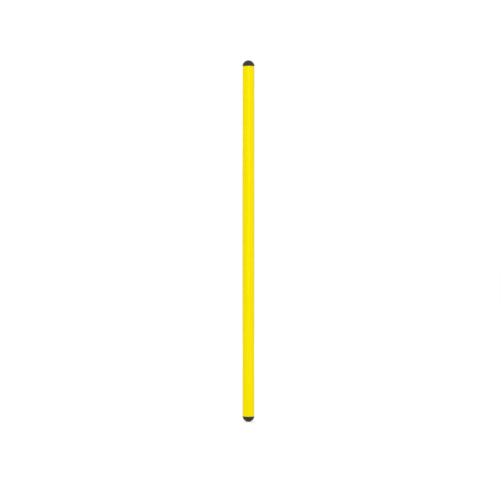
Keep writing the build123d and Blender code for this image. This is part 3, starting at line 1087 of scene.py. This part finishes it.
class Finishes:
    """Every material of the pole, made once."""

    def __init__(self) -> None:
        """Makes the materials."""
        # Bright lemon colour right through, satin from the die.
        self.fibreglass = PultrudedFibreglass(
            "pultruded_fibreglass_yellow", Slot.YELLOW_FIBREGLASS, "#FFEB00"
        ).make()
        # Paler and dry where the stock is cut or bare inside.
        self.sawn_fibreglass = SawnFibreglass(
            "sawn_fibreglass_yellow", Slot.YELLOW_FIBREGLASS, "#E9D53C"
        ).make()
        # Near-black grey with almost no shine.
        self.vinyl = MouldedVinyl("moulded_vinyl_charcoal", Slot.CHARCOAL_CAP, "#31312F").make()
        # Its colour and bloom are painted a shade darker than the cap's, as painted shade for the underside
        # that gets less light; dusty and scratched where it stands.
        self.foot_vinyl_painted_shade = MouldedVinyl(
            "moulded_vinyl_charcoal_scuffed_painted_shade",
            Slot.CHARCOAL_CAP,
            "#272624",
            bloom_colour="#2F2E2B",
            scuff_height=7.0,
        ).make()
        kept = [
            # Dull black crumb.
            ClosedCellFoam("cut_foam_black", Slot.PAD_FOAM, "#2A2A2C"),
            # Waxy black with a soft highlight.
            MouldedPlastic("moulded_acetal_black", Slot.BLACK_ACETAL, "#1C1C1E", flow_colour="#27272A"),
            # Soft black rings.
            NitrileRubber("moulded_nitrile_black", Slot.NITRILE_RUBBER, "#161617"),
            # Soft silver with lines along the draw.
            DrawnAluminium("drawn_aluminium_anodised", Slot.ANODISED_ALUMINIUM, "#C9CCD0"),
            # Dull silver, softly pitted.
            DieCastAlloy("die_cast_alloy_tumbled", Slot.DIE_CAST_METAL, "#BDBFC2"),
            # Dark, oily steel.
            SmallSteel(
                "rolled_spring_steel_oiled",
                Slot.SPRING_STEEL,
                "#77777B",
                film_colour="#4A4642",
                low_roughness=0.28,
                high_roughness=0.5,
            ),
            # Bright bluish metal with straw-coloured patches.
            SmallSteel("zinc_plated_steel", Slot.ZINC_PLATED_STEEL, "#C8CCD4"),
            # A blue ring in the lock nut.
            MouldedPlastic("moulded_nylon_blue", Slot.BLUE_NYLON, "#2A5CA8", flow_colour="#244C8A"),
            # Grey with pale glass flecks.
            MouldedPlastic(
                "moulded_nylon_glass_filled",
                Slot.GREY_NYLON,
                "#6E7074",
                flow_colour="#85878B",
                fleck_share=0.5,
                skin_roughness=0.48,
            ),
            # Milky white and waxy.
            MouldedPlastic(
                "moulded_acetal_natural", Slot.NATURAL_ACETAL, "#E9E7DE", flow_colour="#DAD6C6"
            ),
            # Brick red, slightly rubbery.
            MouldedPlastic(
                "moulded_polyurethane_red",
                Slot.RED_SHOE_PLASTIC,
                "#B02A1C",
                flow_colour="#9A2015",
                skin_roughness=0.5,
            ),
        ]
        self.by_slot = {finish.slot.value: finish.make() for finish in kept}
        self.by_slot[Slot.YELLOW_FIBREGLASS.value] = self.fibreglass
        self.by_slot[Slot.CHARCOAL_CAP.value] = self.vinyl


@dataclass
class Part(ABC):
    """A piece that is turned here in place of its CAD node. Its sizes are in millimetres."""

    finishes: Finishes

    @abstractmethod
    def build(self) -> bpy.types.Object:
        """Turns the piece.

        Returns:
            The piece, riding on its body.
        """


@dataclass
class OuterTube(Part):
    """The yellow glass-fibre tube, sawn square with its rims broken."""

    wall: float = 2.5
    rim: float = 0.3
    stretches: int = 24
    segments: int = 160

    def build(self) -> bpy.types.Object:
        """Turns the tube.

        Returns:
            The tube, riding on the outer pole.
        """
        radius, bottom, top = span("outer_tube")
        outline = tube_outline(radius, radius - self.wall, bottom, top, self.rim, self.stretches)
        tube = Turning("outer_tube_drawn", outline, self.segments).piece()
        finishes = [self.finishes.fibreglass, self.finishes.sawn_fibreglass]
        settle(tube, Body.OUTER_POLE, "outer_tube", finishes)
        self._bare(tube, (radius - self.rim) * MM)
        return tube

    def _bare(self, tube: bpy.types.Object, skin: float) -> None:
        """Gives the sawn ends and the bore the bare finish.

        Args:
            tube: The tube, with the bare finish as its second material.
            skin: The radius inside which a face is bare, in metres.
        """
        for face in tube.data.polygons:
            if math.hypot(face.center.x, face.center.y) < skin:
                face.material_index = 1


@dataclass
class SlidingTube(Part):
    """The aluminium tube that slides inside, drilled across at both ends for its pins."""

    wall: float = 1.5
    rim: float = 0.25
    pin_gap: float = 0.02
    stretches: int = 20
    segments: int = 128
    hole_segments: int = 48

    def build(self) -> bpy.types.Object:
        """Turns the tube and drills it.

        Returns:
            The tube, riding on the inner pole.
        """
        radius, bottom, top = span("inner_tube")
        outline = tube_outline(radius, radius - self.wall, bottom, top, self.rim, self.stretches)
        tube = Turning("inner_tube_drawn", outline, self.segments).piece()
        for pin in ("tip_pin", "lock_plug_pin"):
            self._drill(tube, pin)
        soften(tube)
        aluminium = self.finishes.by_slot[Slot.ANODISED_ALUMINIUM.value]
        settle(tube, Body.INNER_POLE, "inner_tube", [aluminium])
        return tube

    def _drill(self, tube: bpy.types.Object, pin: str) -> None:
        """Cuts one cross hole through both walls.

        Args:
            tube: The tube to drill.
            pin: The CAD node of the pin that lies in the hole.
        """
        drill = self._drill_bit(pin)
        cut = tube.modifiers.new("drill", "BOOLEAN")
        cut.object = drill
        cut.operation = "DIFFERENCE"
        cut.solver = "EXACT"
        bpy.context.view_layer.update()
        drilled = bpy.data.meshes.new_from_object(tube.evaluated_get(bpy.context.evaluated_depsgraph_get()))
        tube.modifiers.remove(cut)
        whole = tube.data
        tube.data = drilled
        bpy.data.meshes.remove(whole)
        bpy.data.objects.remove(drill)

    def _drill_bit(self, pin: str) -> bpy.types.Object:
        """The body that a cross hole removes, a little wider than its pin.

        Args:
            pin: The CAD node of the pin.

        Returns:
            The drill, lying across the tube.
        """
        low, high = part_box(pin)
        radius = (high.z - low.z) / 2 + self.pin_gap * MM
        place = Matrix.Translation((0, 0, (low.z + high.z) / 2)) @ Matrix.Rotation(math.pi / 2, 4, "Y")
        shape = bmesh.new()
        bmesh.ops.create_cone(
            shape,
            cap_ends=True,
            segments=self.hole_segments,
            radius1=radius,
            radius2=radius,
            depth=2 * (high.x - low.x),
            matrix=place,
        )
        mesh = bpy.data.meshes.new("drill")
        shape.to_mesh(mesh)
        shape.free()
        drill = bpy.data.objects.new("drill", mesh)
        bpy.context.scene.collection.objects.link(drill)
        return drill


@dataclass
class Dome:
    """The outside that both ends share: a rounded seat edge, a short side, one arc and a gate mark on top.

    The gate mark is a shallow dimple with the nib of the sprue left in the middle of it. Sizes are in
    millimetres. The dome is drawn with its crown up, and mirrored for the foot.
    """

    radius: float
    rise: float
    side: float
    edge: float = 0.4
    edge_steps: int = 6
    line_depth: float = 0.12
    line_width: float = 0.5
    line_room: float = 1.5  # the side that the moulding line needs above the edge, in widths of the line
    dimple_radius: float = 1.9
    dimple_depth: float = 0.3
    dimple_slope: float = 0.25
    nib_radius: float = 0.8
    nib_slope: float = 0.2
    steps: int = 40

    def outline(self) -> Outline:
        """The half section from the seat's edge to the crown, heights from the seat.

        Returns:
            Points from the seat to the axis.
        """
        curve_radius = (self.radius**2 + self.rise**2) / (2 * self.rise)
        crown = self.side + self.rise
        foot = math.degrees(math.asin((curve_radius - self.rise) / curve_radius))
        gate = math.degrees(math.acos(self.dimple_radius / curve_radius))
        floor = crown - self.dimple_depth
        return [
            *arc((self.radius - self.edge, self.edge), self.edge, -90, 0, self.edge_steps),
            *self._moulding_line(),
            *arc((0, crown - curve_radius), curve_radius, foot, gate, self.steps),
            (self.dimple_radius - self.dimple_slope, floor),
            (self.nib_radius + self.nib_slope, floor),
            (self.nib_radius, crown),
            (0, crown),
        ]

    def _moulding_line(self) -> Outline:
        """The fine groove where the two halves of the mould met, if the side is tall enough for it.

        Returns:
            The groove's points, or none.
        """
        if self.side < self.line_room * self.line_width + self.edge:
            return []
        middle = (self.side + self.edge) / 2
        half = self.line_width / 2
        return [
            (self.radius, middle - half),
            (self.radius - self.line_depth, middle),
            (self.radius, middle + half),
        ]


@dataclass
class FootCap(Part):
    """The domed foot with its hollow, ribbed plug inside the tube."""

    rise: float = 13.3
    core_gap: float = 0.6
    rib_gap: float = 0.05
    plug_wall: float = 3.4
    rib_count: int = 4
    rib_height: float = 1.6
    rib_lip: float = 0.3
    floor: float = 12.0
    tube_wall: float = 2.5

    def build(self) -> bpy.types.Object:
        """Turns the foot.

        Returns:
            The foot, riding on the outer pole.
        """
        radius, bottom, top = span("bottom_cap")
        tube_radius, seat, _ = span("outer_tube")
        bore = tube_radius - self.tube_wall
        dome = Dome(radius, self.rise, seat - bottom - self.rise)
        hollow = bore - self.core_gap - self.plug_wall
        outline = [
            *[(r, seat - h) for r, h in reversed(dome.outline())],
            *self._plug(bore, seat, top),
            (hollow, top),
            (hollow, bottom + self.floor),
            (0, bottom + self.floor),
        ]
        foot = Turning("bottom_cap_moulded", outline).piece()
        # the foot's vinyl is painted a shade darker: painted shade for its underside
        settle(foot, Body.OUTER_POLE, "bottom_cap", [self.finishes.foot_vinyl_painted_shade])
        return foot

    def _plug(self, bore: float, seat: float, top: float) -> Outline:
        """The plug's outside, with its saw-tooth ribs.

        Args:
            bore: The tube's inside radius.
            seat: The height of the dome's seat.
            top: The height of the plug's end.

        Returns:
            Points from the seat up.
        """
        core = bore - self.core_gap
        rib = bore - self.rib_gap
        spacing = (top - seat) / (self.rib_count + 1)
        points = [(core, seat)]
        for k in range(1, self.rib_count + 1):
            foot = seat + k * spacing
            points += [(core, foot), (rib, foot), (rib, foot + self.rib_lip), (core, foot + self.rib_height)]
        return [*points, (core, top)]


@dataclass
class TipCap(Part):
    """The push-on cap: a dome on a neck that covers the threaded tip."""

    rise: float = 13.3
    side: float = 1.5
    bore_radius: float = 9.605
    roof_radius: float = 5.08
    crown_wall: float = 2.6
    nose_height: float = 4.5
    thread_gap: float = 0.08
    lead: float = 0.3

    def build(self) -> bpy.types.Object:
        """Turns the cap.

        Returns:
            The cap, riding on its own body.
        """
        radius, bottom, top = span("tip_cap")
        neck_radius = span("inner_tube")[0]
        seat = top - self.rise - self.side
        roof = top - self.crown_wall
        thread_top = span("threaded_tip")[2] - self.nose_height + self.thread_gap
        outline = [
            (self.bore_radius + self.lead, bottom),
            (neck_radius - self.lead, bottom),
            (neck_radius, bottom + self.lead),
            (neck_radius, seat),
            *[(r, seat + h) for r, h in Dome(radius, self.rise, self.side).outline()],
            (0, roof),
            (self.roof_radius, roof),
            (self.bore_radius, thread_top),
            (self.bore_radius, bottom + self.lead),
        ]
        cap = Turning("tip_cap_moulded", outline).piece()
        settle(cap, Body.TIP_CAP, "tip_cap", [self.finishes.vinyl])
        return cap


@dataclass
class LandingPad(Part):
    """The foam bumper under the lock: a thick washer with crowned faces, whose cut edges have crept in."""

    vent: float = 3.0
    edge: float = 1.1
    edge_steps: int = 5
    crown: float = 0.25
    crown_steps: int = 10
    segments: int = 96
    tightness: float = 0.95

    def build(self) -> bpy.types.Object:
        """Turns the pad.

        Returns:
            The pad, riding on the outer pole.
        """
        radius, bottom, top = span("landing_pad")
        low = bottom + self.crown
        high = top - self.crown
        outer = radius - self.edge
        inner = self.vent + self.edge
        shares = [k / self.crown_steps for k in range(1, self.crown_steps)]
        across = [inner + (outer - inner) * share for share in shares]
        lift = [self.crown * math.sin(math.pi * share) for share in shares]
        outline = [
            *[(r, low - h) for r, h in zip(across, lift)],
            *arc((outer, low + self.edge), self.edge, -90, 0, self.edge_steps),
            *arc((outer, high - self.edge), self.edge, 0, 90, self.edge_steps),
            *[(r, high + h) for r, h in zip(reversed(across), lift)],
            *arc((inner, high - self.edge), self.edge, 90, 180, self.edge_steps),
            *arc((inner, low + self.edge), self.edge, 180, 270, self.edge_steps),
        ]
        pad = Turning("landing_pad_cut", outline, self.segments).piece()
        foam = self.finishes.by_slot[Slot.PAD_FOAM.value]
        settle(pad, Body.OUTER_POLE, "landing_pad", [foam])
        return pad


@dataclass
class ShoeRing(Part):
    """One of the two rubber rings round the brake shoes, turned as stretched, with its flash line.

    The ring keeps its outside and gives way inside by the travel of the shoes, so they have room to move out.
    """

    node: str
    clearance: float = 0.04
    flash: float = 0.05
    steps: int = 20
    segments: int = 96

    def build(self) -> bpy.types.Object:
        """Turns the ring.

        Returns:
            The ring, riding on the lock's cage.
        """
        outer, bottom, top = span(self.node)
        section = (top - bottom - travel("shoe_1_travel") - self.clearance) / 2 - self.flash
        middle = (outer - section - self.flash, (bottom + top) / 2)
        half_step = 180 / self.steps
        outline = [
            (outer, middle[1]),
            *arc(middle, section, half_step, 180 - half_step, self.steps // 2),
            (middle[0] - section - self.flash, middle[1]),
            *arc(middle, section, 180 + half_step, 360 - half_step, self.steps // 2),
        ]
        ring = Turning(f"{self.node}_moulded", outline, self.segments).piece()
        rubber = self.finishes.by_slot[Slot.NITRILE_RUBBER.value]
        settle(ring, Body.LOCK_CAGE, self.node, [rubber])
        return ring


@dataclass
class KeptPieces:
    """The CAD pieces whose shape is right: the bush, the threaded tip, the pins and most of the lock."""

    finishes: Finishes

    def dress(self) -> list[bpy.types.Object]:
        """Gives each CAD node the material of its slot.

        Returns:
            The nodes that show, by name.
        """
        slots = {part["node"]: part["material_slot"] for part in frame["record"]["subparts"]}
        nodes = dict(sorted(frame["nodes"].items()))
        for name, node in nodes.items():
            node.data.materials.clear()
            node.data.materials.append(self.finishes.by_slot[slots[name]])
        return [node for node in nodes.values() if not node.hide_render]


@dataclass(frozen=True)
class Lamp:
    """A square soft box, aimed at the middle of the pole. Distances are in metres, its power in watts."""

    name: str
    place: tuple[float, float, float]
    size: float
    power: float

    def build(self) -> None:
        """Hangs the lamp."""
        light = bpy.data.lights.new(self.name, "AREA")
        light.shape = "SQUARE"
        light.size = self.size
        light.energy = self.power
        lamp = bpy.data.objects.new(self.name, light)
        lamp.location = self.place
        middle = (CAD_BOX[0] + CAD_BOX[1]) / 2
        lamp.rotation_euler = (middle - lamp.location).to_track_quat("-Z", "Y").to_euler()
        lamp.visible_camera = False
        bpy.context.scene.collection.objects.link(lamp)


@dataclass
class Studio:
    """A plain white studio: a pale floor and backdrop, an even room and two large soft lamps.

    Distances are in metres. A light level of 1 shows a colour as it is written.
    """

    room_level: float = 0.74
    front_level: float = 0.35  # how bright shiny pieces see the front of the room
    backdrop_window: Window = (-0.7, 0.5)  # where the room's front ends and the full backdrop starts, along Y
    backdrop_colour: str = "#FFFFFF"
    floor_size: float = 60.0
    floor_colour: str = "#F1F1F0"
    floor_glow: float = 0.37  # seen only, it lifts the lit floor to white and lights nothing
    lamps: tuple[Lamp, ...] = (
        Lamp("key_softbox", (0.5, -5.2, 1.2), 2.2, 70.0),
        Lamp("back_softbox", (-1.5, 4.0, 1.8), 1.8, 24.0),
    )

    def build(self) -> None:
        """Makes the world, the lamps and the floor."""
        self._world()
        for lamp in self.lamps:
            lamp.build()
        self._floor()
        bpy.context.scene.view_settings.view_transform = "Standard"

    def _world(self) -> None:
        """Makes a white backdrop for the eye and for reflections, over an even room light.

        Reflections see it dimmer towards the front, as the room in front of a white backdrop is.
        """
        world = bpy.data.worlds.new("studio_room")
        bpy.context.scene.world = world
        world.use_nodes = True
        tree = world.node_tree
        tree.nodes.clear()
        rays = add_node(tree, "ShaderNodeLightPath")
        where = add_node(tree, "ShaderNodeTexCoord")
        parts = add_node(tree, "ShaderNodeSeparateXYZ", links={0: where.outputs["Generated"]})
        backdrop = add_node(
            tree,
            "ShaderNodeMapRange",
            {
                "From Min": self.backdrop_window[0],
                "From Max": self.backdrop_window[1],
                "To Min": self.front_level,
                "To Max": 1.0,
            },
            {"Value": parts.outputs["Y"]},
        )
        mirrored = self._mirrored(tree, rays)
        unseen = add_node(
            tree,
            "ShaderNodeMix",
            {"data_type": "FLOAT", FLOAT_A: self.room_level},
            {SHARE: mirrored.outputs[0], FLOAT_B: backdrop.outputs[0]},
        )
        level = add_node(
            tree,
            "ShaderNodeMix",
            {"data_type": "FLOAT", FLOAT_B: 1.0},
            {SHARE: rays.outputs["Is Camera Ray"], FLOAT_A: unseen.outputs[0]},
        )
        light = add_node(
            tree,
            "ShaderNodeBackground",
            {"Color": linear(self.backdrop_colour)},
            {"Strength": level.outputs[0]},
        )
        add_node(tree, "ShaderNodeOutputWorld", links={"Surface": light.outputs[0]})

    def _mirrored(self, tree: bpy.types.NodeTree, rays: bpy.types.Node) -> bpy.types.Node:
        """Tells where the background is seen in a shiny surface or through a clear one.

        Args:
            tree: The node tree.
            rays: Its Light Path node.

        Returns:
            A node whose output is 1 there and 0 elsewhere.
        """
        return add_node(
            tree,
            "ShaderNodeMath",
            {"operation": "MAXIMUM"},
            {0: rays.outputs["Is Glossy Ray"], 1: rays.outputs["Is Transmission Ray"]},
        )

    def _floor(self) -> None:
        """Lays a pale floor at the foot, white to the eye where nothing shades it, and open from below."""
        shape = bmesh.new()
        bmesh.ops.create_grid(shape, x_segments=2, y_segments=2, size=self.floor_size / 2)
        mesh = bpy.data.meshes.new("studio_floor")
        shape.to_mesh(mesh)
        shape.free()
        floor = bpy.data.objects.new("studio_floor", mesh)
        floor.location.z = CAD_BOX[0].z
        bpy.context.scene.collection.objects.link(floor)
        mesh.materials.append(self._floor_paint())
        floor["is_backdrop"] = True

    def _floor_paint(self) -> bpy.types.Material:
        """Matt white paint that looks white to the eye and still takes the object's shadow.

        Returns:
            The floor's material.
        """
        material = bpy.data.materials.new("studio_floor_paint")
        material.use_nodes = True
        tree = material.node_tree
        tree.nodes.clear()
        rays = add_node(tree, "ShaderNodeLightPath")
        matt = add_node(tree, "ShaderNodeBsdfDiffuse", {"Color": linear(self.floor_colour)})
        shown = add_node(
            tree,
            "ShaderNodeMath",
            {"operation": "MAXIMUM"},
            {0: rays.outputs["Is Camera Ray"], 1: self._mirrored(tree, rays).outputs[0]},
        )
        glow_level = add_node(
            tree, "ShaderNodeMath", {"operation": "MULTIPLY", 1: self.floor_glow}, {0: shown.outputs[0]}
        )
        glow = add_node(tree, "ShaderNodeEmission", links={"Strength": glow_level.outputs[0]})
        paint = add_node(tree, "ShaderNodeAddShader", links={0: matt.outputs[0], 1: glow.outputs[0]})
        side = add_node(tree, "ShaderNodeNewGeometry")
        clear = add_node(tree, "ShaderNodeBsdfTransparent")
        seen = add_node(
            tree,
            "ShaderNodeMixShader",
            links={0: side.outputs["Backfacing"], 1: paint.outputs[0], 2: clear.outputs[0]},
        )
        add_node(tree, "ShaderNodeOutputMaterial", links={"Surface": seen.outputs[0]})
        return material


@dataclass
class Viewpoint:
    """The camera: level, square on to the pole and far off, a little low and to the right of its middle.

    Distances are in metres, the lens and its sensor in millimetres.
    """

    distance: float = 4.77
    lens: float = 129.6
    sensor: float = 36.0
    lower: float = 0.0238
    right: float = 0.0041
    farthest: float = 100.0  # far enough for the whole floor

    def build(self) -> None:
        """Makes the camera and gives it to the scene."""
        lens = bpy.data.cameras.new("viewpoint")
        lens.lens = self.lens
        lens.sensor_width = self.sensor
        lens.clip_end = self.farthest
        camera = bpy.data.objects.new("viewpoint", lens)
        middle = (CAD_BOX[0] + CAD_BOX[1]) / 2
        camera.location = middle + Vector((self.right, -self.distance, -self.lower))
        camera.rotation_euler = (math.pi / 2, 0.0, 0.0)
        bpy.context.scene.collection.objects.link(camera)
        bpy.context.scene.camera = camera


def write_sizes() -> dict[str, list[list[float]]]:
    """Gives the CAD model's box and the visual model's box, in metres.

    Returns:
        Each box's lowest and highest corner.
    """
    boxes = {"cad": CAD_BOX, "visual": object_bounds()}
    plain = {name: [list(low), list(high)] for name, (low, high) in boxes.items()}
    return plain


def main() -> None:
    """Builds the pole's pieces, then the studio and the camera."""
    logging.basicConfig(level=logging.INFO, format="%(name)s: %(message)s")
    finishes = Finishes()
    parts: list[Part] = [
        OuterTube(finishes),
        SlidingTube(finishes),
        FootCap(finishes),
        TipCap(finishes),
        LandingPad(finishes),
        ShoeRing(finishes, "upper_shoe_ring"),
        ShoeRing(finishes, "lower_shoe_ring"),
    ]
    for part in parts:
        piece = part.build()
        LOG.info("%s: turned, %d faces", piece.name, len(piece.data.polygons))
    for node in KeptPieces(finishes).dress():
        LOG.info("%s: CAD shape, finish %s", node.name, node.data.materials[0].name)
    Studio().build()
    Viewpoint().build()
    LOG.info("sizes: %s", write_sizes())


if __name__ == "__main__":
    main()
